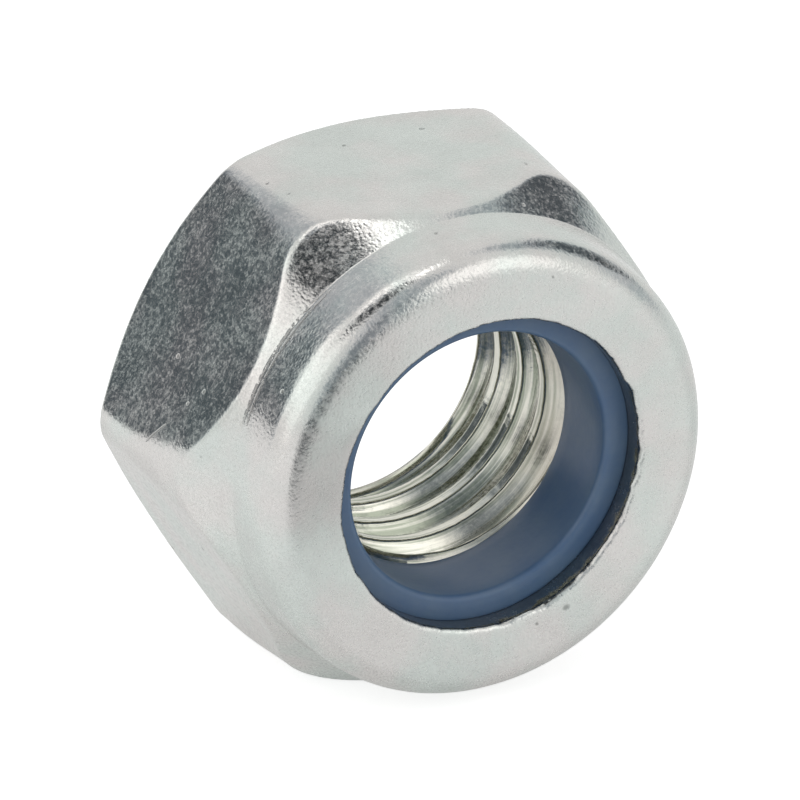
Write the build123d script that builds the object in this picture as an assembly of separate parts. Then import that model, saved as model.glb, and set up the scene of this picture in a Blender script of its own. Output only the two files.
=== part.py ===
from build123d import *
from build123d.topology import SkipClean

import os
from math import cos, isclose, radians, sqrt, tan

# Lock nut, M12 x 1.75, with a plastic locking ring held in its collar.
#
# Two pieces: a cold-formed steel body, which is the hexagon and the round collar in one, and a plastic
# ring that lies in a recess of the collar. The rim of the collar is rolled over the ring to hold it.
#
# Each piece is drawn about its own thread axis first, with the bearing face at height 0 and the collar
# upwards. The finished nut is then laid on one of its flats: +Z is up, the bearing face looks along +Y,
# the collar along -Y, and the origin is under the middle of the nut, on the surface that it lies on.
# All sizes are in millimetres and degrees.

# --- Thread ---
thread_diameter = 12.0
thread_pitch = 1.75
countersink_margin = 0.25       # of the entry at the bearing face, around the thread
countersink_angle = 45.0        # slope of its wall, from the thread axis
inner_bevel = 0.35              # where the thread starts behind the ring

# --- Hexagon ---
width_across_flats = 19.0
upright_edge_radius = 1.4       # rounding of the six edges between the flats
bearing_face_inset = 0.25       # of the round bearing face, from the flats
bearing_cone_angle = 42.0       # slope of the cone that takes the corners off behind
collar_cone_angle = 59.0        # slope of the cone that takes the corners off at the collar
cone_blend_radius = 3.0         # blends that cone into the upright edges

# --- Collar ---
nut_height = 12.0
collar_height = 3.25            # from the front edge of a flat, at its middle, to the rim
collar_inset = 0.45             # of the collar's side, from the flats
collar_root_radius = 0.6        # hollow between the collar and the cone
shoulder_radius = 1.3           # rounding from the side of the collar to its rim
rim_thickness = 1.0             # where it is rolled over the ring
rim_clearance = 0.15            # of its opening, around the thread
rim_edge_bevel = 0.2

# --- Locking ring ---
ring_bite = 0.75                # how far its bore stands inside the thread's outer diameter
ring_width = 2.25               # from its bore to its outer side
ring_height = 3.25
ring_edge_bevel = 0.25          # at its bore, on the side that shows
ring_side_clearance = 0.03      # from the wall of the recess

# --- Worked out from the above ---
flat_distance = width_across_flats / 2
sharp_corner_radius = flat_distance / cos(radians(30))
bearing_face_radius = flat_distance - bearing_face_inset
collar_radius = flat_distance - collar_inset
hexagon_height = nut_height - collar_height
thread_radius = thread_diameter / 2
thread_triangle = thread_pitch * sqrt(3) / 2                     # height of the sharp profile
crest_radius = thread_radius - thread_triangle * 5 / 8           # minor radius of the thread
countersink_radius = thread_radius + countersink_margin
countersink_depth = (countersink_radius - crest_radius) / tan(radians(countersink_angle))
ring_bore_radius = thread_radius - ring_bite
ring_outer_radius = ring_bore_radius + ring_width
rim_opening_radius = thread_radius + rim_clearance
rim_underside = nut_height - rim_thickness
recess_floor = rim_underside - ring_height
recess_radius = ring_outer_radius + ring_side_clearance


def section(corners):
    """Closed outline in the XZ plane, from pairs of a corner and the radius that rounds it."""
    points = [point for point, _ in corners]
    radii = [radius for _, radius in corners]
    return make_face(Plane.XZ * FilletPolyline(*points, radius=radii, close=True))


def turned_form():
    """The outside of the body without its flats: two cones, the collar, its shoulder and its rim."""
    bearing_rise = (sharp_corner_radius - bearing_face_radius) * tan(radians(bearing_cone_angle))
    cone_slope = tan(radians(collar_cone_angle))
    cone_foot = hexagon_height - (sharp_corner_radius - flat_distance) * cone_slope
    cone_top = hexagon_height + collar_inset * cone_slope
    outline = section([
        ((0, 0), 0),
        ((bearing_face_radius, 0), 0),
        ((sharp_corner_radius, bearing_rise), 0),
        ((sharp_corner_radius, cone_foot), cone_blend_radius),
        ((collar_radius, cone_top), collar_root_radius),
        ((collar_radius, nut_height), shoulder_radius),
        ((0, nut_height), 0),
    ])
    return revolve(outline, Axis.Z)


def hexagon():
    """Prism of the six flats, as tall as the nut."""
    outline = RegularPolygon(flat_distance, 6, major_radius=False)
    outline = fillet(outline.vertices(), upright_edge_radius)
    return extrude(outline, nut_height)


def bore_and_recess():
    """The space inside the body, from the bearing face up: entry, thread crests, recess, rim opening."""
    outline = section([
        ((0, 0), 0),
        ((countersink_radius, 0), 0),
        ((crest_radius, countersink_depth), 0),
        ((crest_radius, recess_floor - inner_bevel), 0),
        ((crest_radius + inner_bevel, recess_floor), 0),
        ((recess_radius, recess_floor), 0),
        ((recess_radius, rim_underside), 0),
        ((rim_opening_radius, rim_underside), 0),
        ((rim_opening_radius, nut_height - rim_edge_bevel), 0),
        ((rim_opening_radius + rim_edge_bevel, nut_height), 0),
        ((0, nut_height), 0),
    ])
    return revolve(outline, Axis.Z)


def thread_groove():
    """Right-hand helical groove of the thread, cut square at both ends of the bore."""
    into_crest = thread_pitch / 20
    half_root = thread_pitch / 16
    half_mouth = thread_pitch * 3 / 8 + into_crest * tan(radians(30))
    start = -thread_pitch * 7 / 8
    profile = Polyline(
        (crest_radius - into_crest, start - half_mouth),
        (thread_radius, start - half_root),
        (thread_radius, start + half_root),
        (crest_radius - into_crest, start + half_mouth),
        close=True,
    )
    helix = Helix(thread_pitch, recess_floor + 2 * thread_pitch, crest_radius, center=(0, 0, start))
    threaded_length = Pos(0, 0, recess_floor / 2) * Cylinder(countersink_radius, recess_floor)
    return sweep(make_face(Plane.XZ * profile), helix, is_frenet=True) & threaded_length


def threaded(body):
    """The body with its thread. A cut can come back with nothing taken away, so it is measured,
    and one that missed is made again with the groove turned a few degrees."""
    for turn in (0, 3, -3, 6, -6, 9, -9):
        groove = Rot(0, 0, turn) * thread_groove()
        cut = body - groove
        if cut.is_valid and len(cut.solids()) == 1 and body.volume - cut.volume > groove.volume / 2:
            return cut
    raise ValueError("the thread was not cut")


def in_quarters(body):
    """The same body with its faces divided at every quarter turn, so that each quarter turn of a
    thread crest is a wall of its own, which a gauge finds whole. Where a plane can't divide the
    body cleanly, the planes are turned about the axis and it is tried again."""
    for turn in (0, 20, 40, 60, 80):
        quarters = [body]
        for plane in (Plane.XZ, Plane.YZ):
            across = Rot(0, 0, turn) * plane
            quarters = [part.split(across, keep=side) for part in quarters if part for side in (Keep.TOP, Keep.BOTTOM)]
        if len(quarters) < 4 or not all(isinstance(part, Solid) for part in quarters):
            continue
        with SkipClean():
            joined = quarters[0].fuse(*quarters[1:])
        if joined.is_valid and len(joined.solids()) == 1 and isclose(joined.volume, body.volume, rel_tol=1e-3):
            return joined
    return body


def steel_body():
    return in_quarters(threaded((turned_form() & hexagon()) - bore_and_recess()))


def locking_ring():
    """Plastic ring that fills the recess from its floor to the underside of the rim."""
    outline = section([
        ((ring_bore_radius, recess_floor), 0),
        ((ring_outer_radius, recess_floor), 0),
        ((ring_outer_radius, rim_underside), 0),
        ((ring_bore_radius + ring_edge_bevel, rim_underside), 0),
        ((ring_bore_radius, rim_underside - ring_edge_bevel), 0),
    ])
    return revolve(outline, Axis.Z)


def laid_down(piece):
    """Turn an upright piece onto a flat of the nut, with the middle of the nut over the origin."""
    centred = Pos(0, 0, -nut_height / 2) * piece
    return Pos(0, 0, flat_distance) * Rot(90, 0, 0) * centred


os.makedirs("parts", exist_ok=True)
export_step(laid_down(steel_body()), "parts/nut_body.step")
export_step(laid_down(locking_ring()), "parts/nylon_insert.step")
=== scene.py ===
from math import atan2, cos, pi, radians, sin, tan

import bpy
from mathutils import Euler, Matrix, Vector


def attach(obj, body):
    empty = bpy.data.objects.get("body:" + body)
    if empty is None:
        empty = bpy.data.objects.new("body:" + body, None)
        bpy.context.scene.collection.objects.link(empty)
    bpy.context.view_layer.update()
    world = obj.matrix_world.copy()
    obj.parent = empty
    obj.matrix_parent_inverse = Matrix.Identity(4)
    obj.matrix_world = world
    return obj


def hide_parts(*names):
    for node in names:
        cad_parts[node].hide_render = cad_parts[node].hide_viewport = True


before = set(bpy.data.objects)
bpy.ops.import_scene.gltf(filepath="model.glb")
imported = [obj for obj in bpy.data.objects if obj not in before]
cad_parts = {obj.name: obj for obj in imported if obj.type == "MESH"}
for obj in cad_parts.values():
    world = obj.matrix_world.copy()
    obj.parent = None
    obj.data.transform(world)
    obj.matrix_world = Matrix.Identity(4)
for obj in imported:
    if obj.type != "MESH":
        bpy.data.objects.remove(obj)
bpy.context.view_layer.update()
scene = bpy.context.scene
scene.view_settings.view_transform = "Standard"


# --- Camera --------------------------------------------------------------------------------
# A long lens on a stand, a little above the nut and to the left of its thread axis, so that
# the collar faces it and three of the flats show.
camera_data = bpy.data.cameras.new("camera")
camera_data.lens = 765.5
camera_data.sensor_width = 36.0
camera_data.clip_start = 0.05
camera_data.clip_end = 5.0
camera = bpy.data.objects.new("camera", camera_data)
camera.location = (-0.26657, -0.49997, 0.28163)
camera.rotation_euler = Euler((radians(64.3886), radians(-0.3553), radians(-27.8350)), "XYZ")
scene.collection.objects.link(camera)
scene.camera = camera


# --- Steel body ----------------------------------------------------------------------------
# The hexagon with its collar, one piece of carbon steel: cold formed, tapped from the bearing
# face and zinc plated, and then rolled over at the rim to hold the ring. It has no joint.

# Sizes in millimetres; heights are above the bearing face.
across_flats = 19.0
nut_height = 12.0
flat_distance = across_flats / 2
upright_edge_radius = 1.4
collar_side_edge_radius = 3.6
corner_radius = flat_distance / cos(radians(30))
bearing_face_radius = 9.25
collar_height = 3.25
collar_root = 9.27
collar_front = 9.03
bearing_cone = tan(radians(42))
collar_cone = tan(radians(59))
hexagon_height = nut_height - collar_height
blank_radius = corner_radius + 0.03  # of the turned form, before the flats are cut
cone_start = (blank_radius - bearing_face_radius) * bearing_cone
cone_foot = hexagon_height - (corner_radius - flat_distance) * collar_cone
cone_top = hexagon_height + (flat_distance - collar_root) * collar_cone
rim_opening_radius = 6.15
rim_underside = 11.0
recess_radius = 7.53
recess_floor = 7.75
thread_pitch = 1.75
thread_root = 6.0
thread_crest = 5.0528
entry_radius = 6.25
entry_flat = 0.12
inner_bevel = 0.35
crest_at = 4.594  # height of the middle of a thread crest, on the +X side


def rounded_section(corners, closed=True):
    """Rows (radius, height) of a turned section, from corners given as radius, height,
    rounding, rows in the rounding, and rows on the run to the next corner."""
    rows = []
    ends = []
    count = len(corners)
    for i, (r, z, rounding, steps, _) in enumerate(corners):
        here = Vector((r, z))
        back = Vector(corners[i - 1][:2]) - here
        ahead = Vector(corners[(i + 1) % count][:2]) - here
        if rounding == 0 or (not closed and i in (0, count - 1)):
            ends.append(([here], here, here))
            continue
        back.normalize()
        ahead.normalize()
        half_angle = back.angle(ahead) / 2
        reach = rounding / tan(half_angle)
        start, stop = here + back * reach, here + ahead * reach
        centre = here + (back + ahead).normalized() * (rounding / sin(half_angle))
        first = atan2(start.y - centre.y, start.x - centre.x)
        turn = atan2(stop.y - centre.y, stop.x - centre.x) - first
        turn = (turn + pi) % (2 * pi) - pi
        arc = []
        for k in range(steps + 1):
            a = first + turn * k / steps
            arc.append(centre + rounding * Vector((cos(a), sin(a))))
        ends.append((arc, start, stop))
    for i, (arc, _, stop) in enumerate(ends):
        rows += arc
        if i + 1 == count and not closed:
            break
        after = ends[(i + 1) % count][1]
        run = corners[i][4]
        rows += [stop.lerp(after, k / (run + 1)) for k in range(1, run + 1)]
    return [(p.x, p.y) for p in rows]


outside = rounded_section([
    # radius, height, rounding, rows in the rounding, rows to the next corner
    (entry_radius, 0, 0, 0, 1),
    (entry_radius + entry_flat, 0, 0, 0, 4),
    (bearing_face_radius, 0, 0.35, 4, 16),
    (blank_radius, cone_start, 0.4, 3, 7),
    (blank_radius, cone_foot, 3.0, 9, 14),
    (collar_root, cone_top, 0.22, 5, 3),
    (collar_front, nut_height, 1.25, 15, 5),
    (rim_opening_radius, nut_height, 0.22, 5, 2),
    (rim_opening_radius, rim_underside, 0.06, 1, 2),
    (recess_radius, rim_underside, 0, 0, 1),
    (recess_radius, recess_floor, 0, 0, 1),
    (thread_crest + inner_bevel, recess_floor, 0, 0, 0),
], closed=False)

# Rows along the thread, as shares of a pitch from the middle of a crest. They run from the
# recess's floor down to a pitch below the bearing face: a row climbs a pitch in its turn.
one_side = [0.09, 0.125, 0.16, 0.3, 0.425, 0.455]
thread_rows = [-share for share in reversed(one_side)] + [0] + one_side + [0.5]
past_the_end = 0.15
thread_line = sorted(
    (crest_at + (turn + share) * thread_pitch for turn in range(-5, 5) for share in thread_rows),
    reverse=True,
)
thread_line = [
    z for z in thread_line if -thread_pitch - past_the_end < z < recess_floor + past_the_end
]


def section_mesh(name, rows, helix_rows=()):
    """The rows as loose points of a mesh; 'helix' marks those that climb with the thread."""
    mesh = bpy.data.meshes.new(name)
    points = [(r, 0, z) for r, z in rows] + [(0, 0, z) for z in helix_rows]
    mesh.from_pydata(points, [], [])
    marks = mesh.attributes.new("helix", "FLOAT", "POINT")
    marks.data.foreach_set("value", [0.0] * len(rows) + [1.0] * len(helix_rows))
    return bpy.data.objects.new(name, mesh)


class Wiring:
    """Adds nodes to a tree. A value given to an input is a number, a vector or a socket."""

    def __init__(self, tree):
        self.tree = tree

    def node(self, kind, inputs=(), **settings):
        node = self.tree.nodes.new(kind)
        for key, value in settings.items():
            setattr(node, key, value)
        given = inputs.items() if isinstance(inputs, dict) else enumerate(inputs)
        for key, value in given:
            if isinstance(value, bpy.types.NodeSocket):
                self.tree.links.new(value, node.inputs[key])
            elif value is not None:
                node.inputs[key].default_value = value
        return node

    def math(self, operation, *values):
        node = self.node("ShaderNodeMath", values, operation=operation)
        return node.outputs[0]

    def sum(self, *values):
        total = values[0]
        for value in values[1:]:
            total = self.math("ADD", total, value)
        return total

    def product(self, *values):
        total = values[0]
        for value in values[1:]:
            total = self.math("MULTIPLY", total, value)
        return total

    def less(self, a, b):
        return self.math("SUBTRACT", a, b)

    def blend(self, low, high, share):
        """low where share is 0, high where it is 1."""
        return self.sum(low, self.product(self.less(high, low), share))

    def weighted(self, start, *pairs):
        """start, and to it each mask times its weight."""
        return self.sum(start, *(self.product(mask, weight) for mask, weight in pairs))

    def noise(self, position, scale, detail=2.0, roughness=0.5):
        inputs = {"Vector": position, "Scale": scale, "Detail": detail, "Roughness": roughness}
        return self.node("ShaderNodeTexNoise", inputs).outputs[0]

    def ramp(self, value, low, high, first=0.0, last=1.0, way="LINEAR"):
        """first below low, last above high, and on the way from one to the other between."""
        inputs = {0: value, 1: low, 2: high, 3: first, 4: last}
        node = self.node("ShaderNodeMapRange", inputs, clamp=True, interpolation_type=way)
        return node.outputs[0]

    def step_up(self, value, low, high, first=0.0, last=1.0):
        return self.ramp(value, low, high, first, last, "SMOOTHSTEP")

    def step_down(self, value, low, high):
        """1 below low, 0 above high."""
        return self.less(1.0, self.step_up(value, low, high))

    def vector(self, operation, a, b, output="Vector"):
        return self.node("ShaderNodeVectorMath", [a, b], operation=operation).outputs[output]

    def along(self, vector, direction):
        return self.vector("DOT_PRODUCT", vector, direction, "Value")

    def group(self, tree, inputs):
        return self.node("ShaderNodeGroup", inputs, node_tree=tree).outputs

    def join(self, value, node, name):
        self.tree.links.new(value, node.inputs[name])

    def colour(self, share, low, high, blend="MIX"):
        """low where share is 0, high where it is 1; each a colour or a socket."""
        inputs = {0: share, 6: low, 7: high}
        return self.node(
            "ShaderNodeMix", inputs, data_type="RGBA", blend_type=blend
        ).outputs[2]


def socket(tree, name, kind="NodeSocketFloat", value=None, direction="INPUT"):
    made = tree.interface.new_socket(name=name, in_out=direction, socket_type=kind)
    if value is not None:
        made.default_value = value
    return made


def turned_tree():
    """Sweeps the rows of a section round the thread axis, cuts the flats, winds the thread."""
    tree = bpy.data.node_groups.new("turned_piece", "GeometryNodeTree")
    socket(tree, "Section", "NodeSocketGeometry")
    for name, value in (
        ("Flat Distance", 100.0), ("Upright Edge Radius", 1.4), ("Collar Side Edge Radius", 1.4),
        ("Edge Softness", 0.1), ("Opening From", 2.0), ("Opening To", 9.0),
        ("Pitch", 1.75), ("Crest Radius", 5.05), ("Root Radius", 6.0), ("Crest Height", 0.0),
        ("Crest Softness", 0.05), ("Bore Length", 7.75), ("Entry Radius", 6.25),
        ("Inner Bevel", 0.35), ("Middle Height", 6.0), ("Axis Height", 9.5),
        ("Lip Height", 12.0), ("Lip Radius", 6.15), ("Lip Reach", 0.45), ("Lip Tear", 0.0),
        ("Waviness", 0.0), ("Thread Wear", 0.0),
    ):
        socket(tree, name, value=value)
    socket(tree, "Segments", "NodeSocketInt", 570)
    socket(tree, "Seed", "NodeSocketInt", 3)
    socket(tree, "Finish", "NodeSocketMaterial")
    socket(tree, "Piece", "NodeSocketGeometry", direction="OUTPUT")
    w = Wiring(tree)
    size = tree.nodes.new("NodeGroupInput").outputs

    # A grid of rows by segments; the rows close on the first one.
    counted = w.node(
        "GeometryNodeAttributeDomainSize", {"Geometry": size["Section"]}, component="MESH"
    )
    row_count = counted.outputs["Point Count"]
    columns = w.sum(size["Segments"], 1)
    grid = w.node(
        "GeometryNodeMeshGrid", {"Vertices X": w.sum(row_count, 1), "Vertices Y": columns}
    )
    index = w.node("GeometryNodeInputIndex").outputs[0]
    row = w.math("FLOOR", w.math("DIVIDE", w.sum(index, 0.5), columns))
    column = w.less(index, w.product(row, columns))
    past_last = w.math("GREATER_THAN", row, w.less(row_count, 0.5))
    row = w.less(row, w.product(row_count, past_last))
    turn = w.math("DIVIDE", column, size["Segments"])
    angle = w.product(turn, 2 * pi)

    def at_row(value, kind):
        return w.node(
            "GeometryNodeSampleIndex",
            {"Geometry": size["Section"], "Value": value, "Index": row},
            data_type=kind, domain="POINT",
        ).outputs["Value"]

    def at_angle(radius, height):
        across, up = w.math("COSINE", angle), w.math("SINE", angle)
        point = [w.product(across, radius), w.product(up, radius), height]
        return w.node("ShaderNodeCombineXYZ", point).outputs[0]

    position = w.node("GeometryNodeInputPosition").outputs[0]
    place = w.node("ShaderNodeSeparateXYZ", [at_row(position, "FLOAT_VECTOR")]).outputs
    plain_radius, plain_height = place["X"], place["Z"]
    helix_mark = w.node(
        "GeometryNodeInputNamedAttribute", {"Name": "helix"}, data_type="FLOAT"
    ).outputs["Attribute"]
    helix = at_row(helix_mark, "FLOAT")
    not_thread = w.less(1.0, helix)

    # The thread: rows climb a pitch in a turn and stop at the two ends of the bore. The phase
    # is a half in the middle of a crest, and the hundred keeps it above zero.
    climbing = w.sum(plain_height, w.product(size["Pitch"], turn))
    climbing = w.math("MINIMUM", w.math("MAXIMUM", climbing, 0.0), size["Bore Length"])
    height = w.blend(plain_height, climbing, helix)
    above_crest = w.math("DIVIDE", w.less(height, size["Crest Height"]), size["Pitch"])
    phase = w.math("FRACT", w.sum(w.less(above_crest, turn), 100.5))
    from_crest = w.product(w.math("ABSOLUTE", w.less(phase, 0.5)), size["Pitch"])
    half_crest = w.product(size["Pitch"], 0.125)
    groove = w.product(w.less(from_crest, half_crest), tan(radians(60)))
    flank = w.sum(size["Crest Radius"], groove)
    wear = w.noise(at_angle(size["Root Radius"], height), 2.2, detail=3.0, roughness=0.6)
    crest = w.sum(size["Crest Radius"], w.product(wear, size["Thread Wear"]))
    thread = w.math("SMOOTH_MAX", flank, crest, size["Crest Softness"])
    thread = w.math("MINIMUM", thread, size["Root Radius"])
    entry = w.less(size["Entry Radius"], height)
    inner = w.sum(size["Crest Radius"], size["Inner Bevel"], height)
    inner = w.less(inner, size["Bore Length"])
    thread = w.math("MAXIMUM", thread, w.math("MAXIMUM", entry, inner))
    radius = w.blend(plain_radius, thread, helix)

    # The flats: the distance to the hexagon's side, with its upright edges rounded, and more
    # so towards the collar.
    half_side = radians(30)
    sector = w.less(w.math("FRACT", w.sum(w.product(turn, 6), 0.5)), 0.5)
    from_corner = w.math("ABSOLUTE", w.product(sector, 2 * half_side))
    lean = w.math("COSINE", w.less(half_side, from_corner))
    to_flat = w.math("DIVIDE", size["Flat Distance"], lean)
    opening = w.ramp(height, size["Opening From"], size["Opening To"], way="SMOOTHERSTEP")
    edge_radius = w.blend(size["Upright Edge Radius"], size["Collar Side Edge Radius"], opening)
    arc_centre = w.math("DIVIDE", w.less(size["Flat Distance"], edge_radius), cos(half_side))
    across = w.product(arc_centre, w.math("SINE", from_corner))
    arc_depth = w.less(w.math("POWER", edge_radius, 2), w.math("POWER", across, 2))
    to_arc = w.sum(
        w.product(arc_centre, w.math("COSINE", from_corner)),
        w.math("SQRT", w.math("MAXIMUM", arc_depth, 0)),
    )
    arc_ends = w.math(
        "ARCTAN2", w.product(edge_radius, sin(half_side)),
        w.sum(arc_centre, w.product(edge_radius, cos(half_side))),
    )
    side = w.blend(to_flat, to_arc, w.math("LESS_THAN", from_corner, arc_ends))
    radius = w.math("SMOOTH_MIN", radius, side, size["Edge Softness"])

    # The torn lip of the rolled rim, strongest along a third of the way round.
    least_tear, worst_at = 0.35, radians(-25)
    lip_gap = w.math(
        "MAXIMUM", w.math("ABSOLUTE", w.less(height, size["Lip Height"])),
        w.math("ABSOLUTE", w.less(radius, size["Lip Radius"])),
    )
    near_lip = w.math("MAXIMUM", w.less(1.0, w.math("DIVIDE", lip_gap, size["Lip Reach"])), 0.0)
    tear = w.noise(at_angle(1.0, size["Seed"]), 5.0, roughness=0.6)
    worst = w.math("MAXIMUM", w.math("COSINE", w.less(angle, worst_at)), 0.0)
    side_bias = w.sum(least_tear, w.product(1 - least_tear, worst))
    torn = w.product(w.less(tear, 0.5), near_lip, side_bias, size["Lip Tear"])
    radius = w.sum(radius, w.product(torn, not_thread))

    # Slight unevenness of a cold-formed and rolled surface, always inwards.
    swell = w.noise(at_angle(radius, height), 0.45)
    outer = w.math("GREATER_THAN", radius, w.sum(size["Lip Radius"], 0.5))
    radius = w.less(radius, w.product(swell, size["Waviness"], outer, not_thread))

    # Turned into the part's frame, with the thread axis along Y, and made metres.
    turned = w.node("ShaderNodeSeparateXYZ", [at_angle(radius, height)]).outputs
    in_place = w.node("ShaderNodeCombineXYZ", [
        turned["X"],
        w.less(size["Middle Height"], turned["Z"]),
        w.sum(turned["Y"], size["Axis Height"]),
    ])
    metres = w.node(
        "ShaderNodeVectorMath", {0: in_place.outputs[0], "Scale": 0.001}, operation="SCALE"
    )
    placed = w.node(
        "GeometryNodeSetPosition",
        {"Geometry": grid.outputs["Mesh"], "Position": metres.outputs[0]},
    )
    merged = w.node(
        "GeometryNodeMergeByDistance", {"Geometry": placed.outputs[0], "Distance": 2e-6}
    )
    outward = w.node("GeometryNodeFlipFaces", {"Mesh": merged.outputs[0]})
    smooth = w.node(
        "GeometryNodeSetShadeSmooth", {"Geometry": outward.outputs[0], "Shade Smooth": True}
    )
    real = w.node("GeometryNodeRealizeInstances", {"Geometry": smooth.outputs[0]})
    finish = w.node(
        "GeometryNodeSetMaterial", {"Geometry": real.outputs[0], "Material": size["Finish"]}
    )
    w.node("NodeGroupOutput", [finish.outputs[0]])
    return tree


turned_piece = turned_tree()


def turn_piece(name, rows, helix_rows, sizes, finish):
    """Runs the tree on a section and keeps its result as a plain mesh."""
    source = section_mesh(name + "_section", rows, helix_rows)
    scene.collection.objects.link(source)
    modifier = source.modifiers.new("turned_piece", "NODES")
    modifier.node_group = turned_piece
    values = dict(sizes, Finish=finish)
    for item in turned_piece.interface.items_tree:
        if item.in_out == "INPUT" and item.name in values:
            modifier[item.identifier] = values[item.name]
    graph = bpy.context.evaluated_depsgraph_get()
    mesh = bpy.data.meshes.new_from_object(
        source.evaluated_get(graph), preserve_all_data_layers=True, depsgraph=graph
    )
    source.modifiers.remove(modifier)
    bpy.data.objects.remove(source)
    mesh.name = name
    piece = bpy.data.objects.new(name, mesh)
    scene.collection.objects.link(piece)
    return piece


def speckle_group():
    """Fine crystals of a plated or moulded skin: a relief height and three masks."""
    tree = bpy.data.node_groups.new("speckle", "ShaderNodeTree")
    socket(tree, "Position", "NodeSocketVector")
    socket(tree, "Grain Per Metre", value=6000.0)
    socket(tree, "Patch Per Metre", value=500.0)
    for name in ("Relief", "Specks", "Patches", "Flecks"):
        socket(tree, name, direction="OUTPUT")
    w = Wiring(tree)
    size = tree.nodes.new("NodeGroupInput").outputs
    position, per_metre = size["Position"], size["Grain Per Metre"]
    fine = w.noise(position, per_metre)
    coarse = w.noise(position, w.product(per_metre, 0.4))
    dust = w.noise(position, w.product(per_metre, 0.9), detail=1.0)
    patch = w.noise(position, size["Patch Per Metre"], detail=5.0, roughness=0.6)
    cells = w.node(
        "ShaderNodeTexVoronoi", {"Vector": position, "Scale": w.product(per_metre, 0.7)}
    )
    relief = w.sum(
        w.product(fine, 0.7), w.product(coarse, 0.5), w.product(cells.outputs["Distance"], -0.5)
    )
    specks = w.ramp(w.sum(w.product(fine, 0.5), w.product(coarse, 0.5)), 0.42, 0.6)
    patches = w.ramp(patch, 0.35, 0.65)
    dusty = w.weighted(dust, (w.less(coarse, 0.5), 0.5), (w.less(patch, 0.5), 0.35))
    flecks = w.ramp(dusty, 0.42, 0.74)
    w.node("NodeGroupOutput", [relief, specks, patches, flecks])
    return tree


speckle = speckle_group()


def scratch_group():
    """A straight scratch between two points of the piece, or a pit where they are the same."""
    tree = bpy.data.node_groups.new("scratch", "ShaderNodeTree")
    for name in ("Position", "From", "To"):
        socket(tree, name, "NodeSocketVector")
    socket(tree, "Width", value=0.0001)
    socket(tree, "Mark", direction="OUTPUT")
    w = Wiring(tree)
    size = tree.nodes.new("NodeGroupInput").outputs
    whole = w.vector("SUBTRACT", size["To"], size["From"])
    reach = w.vector("SUBTRACT", size["Position"], size["From"])
    never_zero = 1e-12
    share = w.math("DIVIDE", w.along(reach, whole), w.sum(w.along(whole, whole), never_zero))
    share = w.math("MINIMUM", w.math("MAXIMUM", share, 0.0), 1.0)
    nearest = w.node("ShaderNodeVectorMath", {0: whole, "Scale": share}, operation="SCALE")
    away = w.vector("DISTANCE", reach, nearest.outputs[0], "Value")
    mark = w.ramp(w.math("DIVIDE", away, size["Width"]), 0.35, 1.0, 1.0, 0.0)
    w.node("NodeGroupOutput", [mark])
    return tree


scratch = scratch_group()


def new_finish(name, **constants):
    """A material whose shader has these constants on its own sockets."""
    made = bpy.data.materials.new(name)
    made.use_nodes = True
    shader = made.node_tree.nodes["Principled BSDF"]
    for key, value in constants.items():
        shader.inputs[key.replace("_", " ")].default_value = value
    return made, shader, Wiring(made.node_tree)


def new_grain(w, spot, per_metre, patch_per_metre):
    """The speckle of one finish: its outputs."""
    inputs = {
        "Position": spot, "Grain Per Metre": per_metre, "Patch Per Metre": patch_per_metre
    }
    return w.group(speckle, inputs)


# The plating is bright zinc, pale grey with green and pink tints, finely pimpled and flecked,
# with dull patches and small pits. Masks are in metres: Y is level 0 half way up the nut and
# falls towards the collar.
zinc, zinc_shader, w = new_finish("zinc_plated_steel", Metallic=1.0)
spot = w.node("ShaderNodeTexCoord").outputs["Object"]
axes = w.node("ShaderNodeSeparateXYZ", [spot]).outputs
level = axes["Y"]
rise = w.less(axes["Z"], flat_distance / 1000)
from_axis = w.math("SQRT", w.sum(w.math("POWER", axes["X"], 2), w.math("POWER", rise, 2)))
around = w.math("ARCTAN2", rise, axes["X"])


def facing(degrees):
    """1 on the side of the nut at this angle, -1 on the far side."""
    return w.math("COSINE", w.less(around, radians(degrees)))


tint = w.noise(spot, 330.0, detail=4.0)
in_bore = w.product(w.step_down(from_axis, 0.00615, 0.0064), w.step_up(level, -0.0022, -0.0019))
on_rim = w.step_down(level, -0.006, -0.00585)
# Painted shadow: the inner wall of the rim's opening, over the ring, is darkened and has no
# flecks.
lip_wall_painted_shadow = w.product(
    w.step_down(from_axis, 0.0063, 0.00645),
    w.step_down(level, -0.0047, -0.0046),
    w.step_up(level, -0.00597, -0.00585),
)
# Painted shade: the face of the rim is darker on the side at 165 degrees, broken by the tint
# noise.
rim_side_painted_shade = w.product(
    w.math("POWER", w.math("MAXIMUM", facing(165), 0.0), 6.0),
    w.step_up(tint, 0.2, 0.5), w.step_down(level, -0.006, -0.0058),
)
grain = new_grain(w, spot, 10000.0, 420.0)

# Pits, one here and there, each about a tenth of a millimetre across.
pits = w.node("ShaderNodeTexVoronoi", {"Vector": spot, "Scale": 430.0, "Randomness": 1.0})
pit = w.step_down(pits.outputs["Distance"], 0.02, 0.05)

# Lines that the tap left along the thread: noise drawn out round the axis, packed along it.
climb = w.product(around, thread_pitch / 2000 / pi)
thread_way = w.node("ShaderNodeCombineXYZ", [
    w.product(around, 0.9), w.product(w.sum(level, climb), 7000.0), w.product(from_axis, 4000.0)
])
tap_lines = w.noise(thread_way.outputs[0], 1.0, detail=3.0, roughness=0.6)

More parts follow.
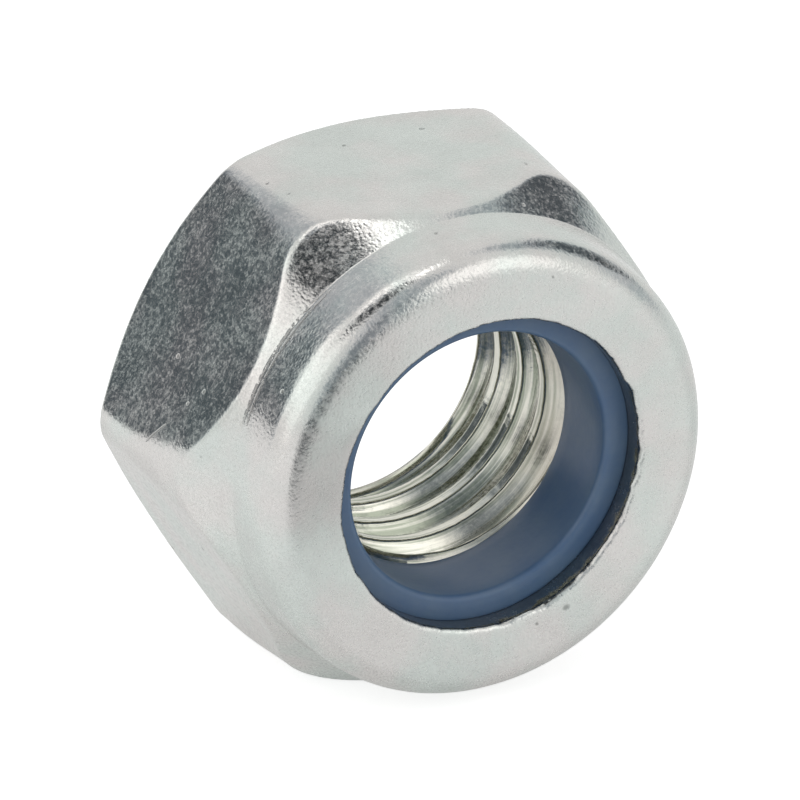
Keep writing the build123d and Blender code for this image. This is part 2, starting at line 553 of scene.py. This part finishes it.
# Marks of handling: both ends and the width, in millimetres.
marks = 0.0
for start, end, width in (
    ((2.25, -5.39, 18.04), (2.44, -5.98, 17.04), 0.06),
    ((-7.77, -3.68, 4.88), (-7.39, -5.81, 5.48), 0.07),
    ((-5.0, 2.37, 18.95), (-5.0, 2.37, 18.95), 0.09),
    ((-4.78, 1.2, 18.98), (-4.7, 1.2, 18.98), 0.08),
    ((2.21, 3.92, 18.99), (2.3, 3.9, 18.99), 0.08),
    ((4.28, -0.5, 18.99), (4.3, -0.4, 18.99), 0.1),
    ((3.18, -6.0, 3.43), (3.1, -6.0, 3.4), 0.14),
    ((-10.59, 1.28, 10.13), (-10.11, 0.61, 10.97), 0.06),
):
    mark = w.group(scratch, {
        "Position": spot, "From": [value / 1000 for value in start],
        "To": [value / 1000 for value in end], "Width": width / 1000,
    })
    marks = w.math("MAXIMUM", marks, mark["Mark"])

# Two fine lines that the rolling left in the collar's root, on the upper left.
root_lines = w.math("MAXIMUM", *(
    w.step_down(w.math("ABSOLUTE", w.sum(level, below_middle)), 0.00003, 0.00007)
    for below_middle in (0.00312, 0.00332)
))
root_lines = w.product(
    root_lines, w.step_up(around, 2.1, 2.35), w.step_down(around, 2.78, 2.86),
    w.step_up(grain["Specks"], 0.1, 0.5),
)
marks = w.math("MAXIMUM", marks, root_lines)

# Colour: the tints of the plating, and in the bore bare tapped steel, with painted shade in
# brown near the ring on one side.
greenish, pinkish = (0.69, 0.728, 0.705, 1), (0.742, 0.72, 0.708, 1)
dark_tapped, bright_tapped = (0.34, 0.37, 0.29, 1), (0.86, 0.84, 0.755, 1)
painted_shade_brown = (0.47, 0.415, 0.35, 1)
plate = w.colour(w.step_up(tint, 0.36, 0.64), greenish, pinkish)
tapped = w.colour(w.step_up(tap_lines, 0.36, 0.6), dark_tapped, bright_tapped)
# Painted shade: near the ring, the side of the bore at -25 degrees is darkened to brown, broken
# by the tint noise.
bore_side_painted_shade = w.product(
    w.step_up(level, 0.0008, -0.0012), w.step_up(tint, 0.25, 0.55),
    w.step_up(facing(-25), 0.35, 0.85),
)
tapped = w.colour(w.product(bore_side_painted_shade, 0.6), tapped, painted_shade_brown)
plate = w.colour(w.product(in_bore, 0.9), plate, tapped)
# Painted light: the face of the rolled rim is made lighter in this shade.
shade = w.weighted(
    0.87, (grain["Specks"], 0.06), (grain["Patches"], 0.09), (pit, -0.4),
    (w.product(pit, in_bore), -0.3), (marks, -0.4), (lip_wall_painted_shadow, -0.5), (rim_side_painted_shade, -0.26),
    (on_rim, 0.11),
)
darkest = 0.1
shade = w.math("MAXIMUM", shade, darkest)
shade = w.node("ShaderNodeCombineColor", [shade, shade, shade]).outputs[0]
w.join(w.colour(1.0, plate, shade, "MULTIPLY"), zinc_shader, "Base Color")

# Gloss: a bright plate, duller on specks, stains, marks and the rolled rim. The flecks are
# zinc salts, which scatter light as a paint does.
w.join(w.weighted(
    0.1, (grain["Patches"], 0.06), (grain["Specks"], 0.13), (on_rim, 0.12), (in_bore, -0.02),
    (pit, 0.3), (marks, 0.25),
), zinc_shader, "Roughness")
open_plate = w.less(1.0, w.math("MAXIMUM", in_bore, lip_wall_painted_shadow))
salt_cover = 0.38
w.join(
    w.less(1.0, w.product(grain["Flecks"], open_plate, salt_cover)), zinc_shader, "Metallic"
)
grain_depth = w.weighted(0.85, (on_rim, 0.9), (in_bore, -0.75))
depth = w.weighted(
    w.product(grain["Relief"], grain_depth), (pit, -2.5), (marks, -3.0),
    (w.product(tap_lines, in_bore), 0.9),
)
pimple_height = 0.0000095
relief = w.node("ShaderNodeBump", {"Strength": 1.0, "Distance": pimple_height, "Height": depth})
w.join(relief.outputs[0], zinc_shader, "Normal")

nut_body = turn_piece("steel_nut_body", outside, thread_line, {
    "Flat Distance": flat_distance, "Upright Edge Radius": upright_edge_radius,
    "Collar Side Edge Radius": collar_side_edge_radius, "Edge Softness": 0.12,
    "Pitch": thread_pitch, "Crest Radius": thread_crest, "Root Radius": thread_root,
    "Crest Height": crest_at, "Bore Length": recess_floor, "Entry Radius": entry_radius,
    "Inner Bevel": inner_bevel, "Waviness": 0.03, "Lip Tear": 0.75, "Thread Wear": 0.05,
}, zinc)
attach(nut_body, "root")
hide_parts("nut_body")


# --- Locking ring --------------------------------------------------------------------------
# A ring of blue nylon, turned or moulded, dropped into the collar's recess and held there by
# the rolled rim. Its bore is plain and smaller than the bolt.
ring_bore_radius = 5.25
ring_outer_radius = 7.5
ring_section = rounded_section([
    (ring_bore_radius, recess_floor, 0.1, 2, 10),
    (ring_outer_radius, recess_floor, 0, 0, 2),
    (ring_outer_radius, rim_underside, 0, 0, 6),
    (ring_bore_radius, rim_underside, 0.25, 5, 4),
])
nylon, nylon_shader, w = new_finish(
    "blue_nylon", Roughness=0.32, Subsurface_Weight=0.25, Subsurface_Scale=0.0006,
    Subsurface_Radius=(0.5, 0.8, 1.0),
)
deep_blue, pale_blue = (0.082, 0.15, 0.275, 1), (0.11, 0.178, 0.285, 1)
grain = new_grain(w, w.node("ShaderNodeTexCoord").outputs["Object"], 5200.0, 600.0)
w.join(w.colour(grain["Patches"], deep_blue, pale_blue), nylon_shader, "Base Color")
grain_height = 0.00001
relief = w.node(
    "ShaderNodeBump", {"Strength": 0.6, "Distance": grain_height, "Height": grain["Relief"]}
)
w.join(relief.outputs[0], nylon_shader, "Normal")
locking_ring = turn_piece("nylon_locking_ring", ring_section, [], {"Segments": 360}, nylon)
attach(locking_ring, "root")
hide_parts("nylon_insert")


# --- Floor and light -----------------------------------------------------------------------
# A white matt table in a white room that is lit evenly, except for a dark opening behind the
# nut to the left, dim places on the right, overhead and on the near side, and a few brighter
# ones: polished metal shows them as its dark and light bands.
half_table = 3
floor_mesh = bpy.data.meshes.new("floor")
floor_corners = [
    (x * half_table, y * half_table, 0) for x, y in ((-1, -1), (1, -1), (1, 1), (-1, 1))
]
floor_mesh.from_pydata(floor_corners, [], [(0, 1, 2, 3)])
floor = bpy.data.objects.new("floor", floor_mesh)
scene.collection.objects.link(floor)
floor_paint = bpy.data.materials.new("floor_paint")
floor_paint.use_nodes = True
w = Wiring(floor_paint.node_tree)
w.tree.nodes.clear()
rays = w.node("ShaderNodeLightPath").outputs

# The camera sees the table lifted to white, under the nut's shadow. The metal sees part of
# that, and more of it on the left of the nut.
glow = w.node("ShaderNodeEmission", {"Color": (1, 1, 1, 1), "Strength": 0.72})
under_glow = w.node("ShaderNodeBsdfDiffuse", {"Color": (0.62, 0.62, 0.62, 1)})
plain_matt = w.node("ShaderNodeBsdfDiffuse", {"Color": (0.82, 0.82, 0.81, 1)})
lifted = w.node("ShaderNodeAddShader", {0: glow.outputs[0], 1: under_glow.outputs[0]})
place = w.node("ShaderNodeNewGeometry").outputs["Position"]
leftward = w.along(place, (-0.94, -0.34, 0))
glossy_share = w.step_up(leftward, 0.004, 0.022, 0.36, 0.6)
lift = w.math("MAXIMUM", rays["Is Camera Ray"], w.product(rays["Is Glossy Ray"], glossy_share))
table = w.node("ShaderNodeMixShader", {0: lift, 1: plain_matt.outputs[0], 2: lifted.outputs[0]})

# In the metal the table gets dim towards the near side of the room.
dim_way = radians(-170)
ahead = w.along(place, (sin(dim_way), cos(dim_way), 0))
aside = w.along(place, (cos(dim_way), -sin(dim_way), 0))
slant = w.math("DIVIDE", w.math("ABSOLUTE", aside), w.math("MAXIMUM", ahead, 0.001))
dim = w.product(
    rays["Is Glossy Ray"], w.step_up(ahead, 0.02, 0.06), w.step_up(slant, 0.25, 0.53, 1.0, 0.0)
)
dim_matt = w.node("ShaderNodeBsdfDiffuse", {"Color": (0.19, 0.2, 0.21, 1)})
table = w.node("ShaderNodeMixShader", {0: dim, 1: table.outputs[0], 2: dim_matt.outputs[0]})
w.join(table.outputs[0], w.node("ShaderNodeOutputMaterial"), "Surface")
floor_mesh.materials.append(floor_paint)

world = bpy.data.worlds.new("studio")
scene.world = world
world.use_nodes = True
w = Wiring(world.node_tree)
w.tree.nodes.clear()
toward = w.node("ShaderNodeTexCoord").outputs["Generated"]

room_light, dimmest = 0.86, 0.04
light = room_light
for azimuth, elevation, inner, outer, added in (
    # A round place of the room: its middle, where its soft edge starts and ends, all in
    # degrees, and what it adds. Azimuth 0 is behind the nut, and 90 is on its right.
    (-37, 10, 13, 30, -0.74),
    (-25, 44, 4, 20, -0.34),
    (-116, 67, 13, 18, -1.25),
    (80, 29, 11, 23, -0.76),
    (99, 6, 8, 24, -0.3),
    (92, 56, 2, 16, -0.45),
    (-174, 13, 8, 25, -0.58),
    (-172, 46, 6, 24, -0.45),
    (-108, 28, 10, 30, 0.42),
    (-66, 30, 8, 24, 0.55),
    (-70, 72, 7, 16, 0.75),
    (152, 25, 11, 26, 0.55),
    (-168, 84, 4, 9, 1.5),
):
    a, e = radians(azimuth), radians(elevation)
    nearness = w.along(toward, (sin(a) * cos(e), cos(a) * cos(e), sin(e)))
    edge = w.step_up(nearness, cos(radians(outer)), cos(radians(inner)), 0.0, added)
    light = w.sum(light, edge)
light = w.math("MAXIMUM", light, dimmest)

# The dark places are a little blue and the light ones a little warm. The camera sees white.
cool, warm, white = (0.84, 1.0, 1.14, 1), (1.0, 1.0, 0.975, 1), (1, 1, 1, 1)
camera_ray = w.node("ShaderNodeLightPath").outputs["Is Camera Ray"]
tone = w.colour(w.ramp(light, 0.0, 0.9), cool, warm)
tone = w.colour(camera_ray, tone, white)
strength = w.blend(light, 1.0, camera_ray)
room = w.node("ShaderNodeBackground", {"Color": tone, "Strength": strength})
w.node("ShaderNodeOutputWorld", {"Surface": room.outputs[0]})
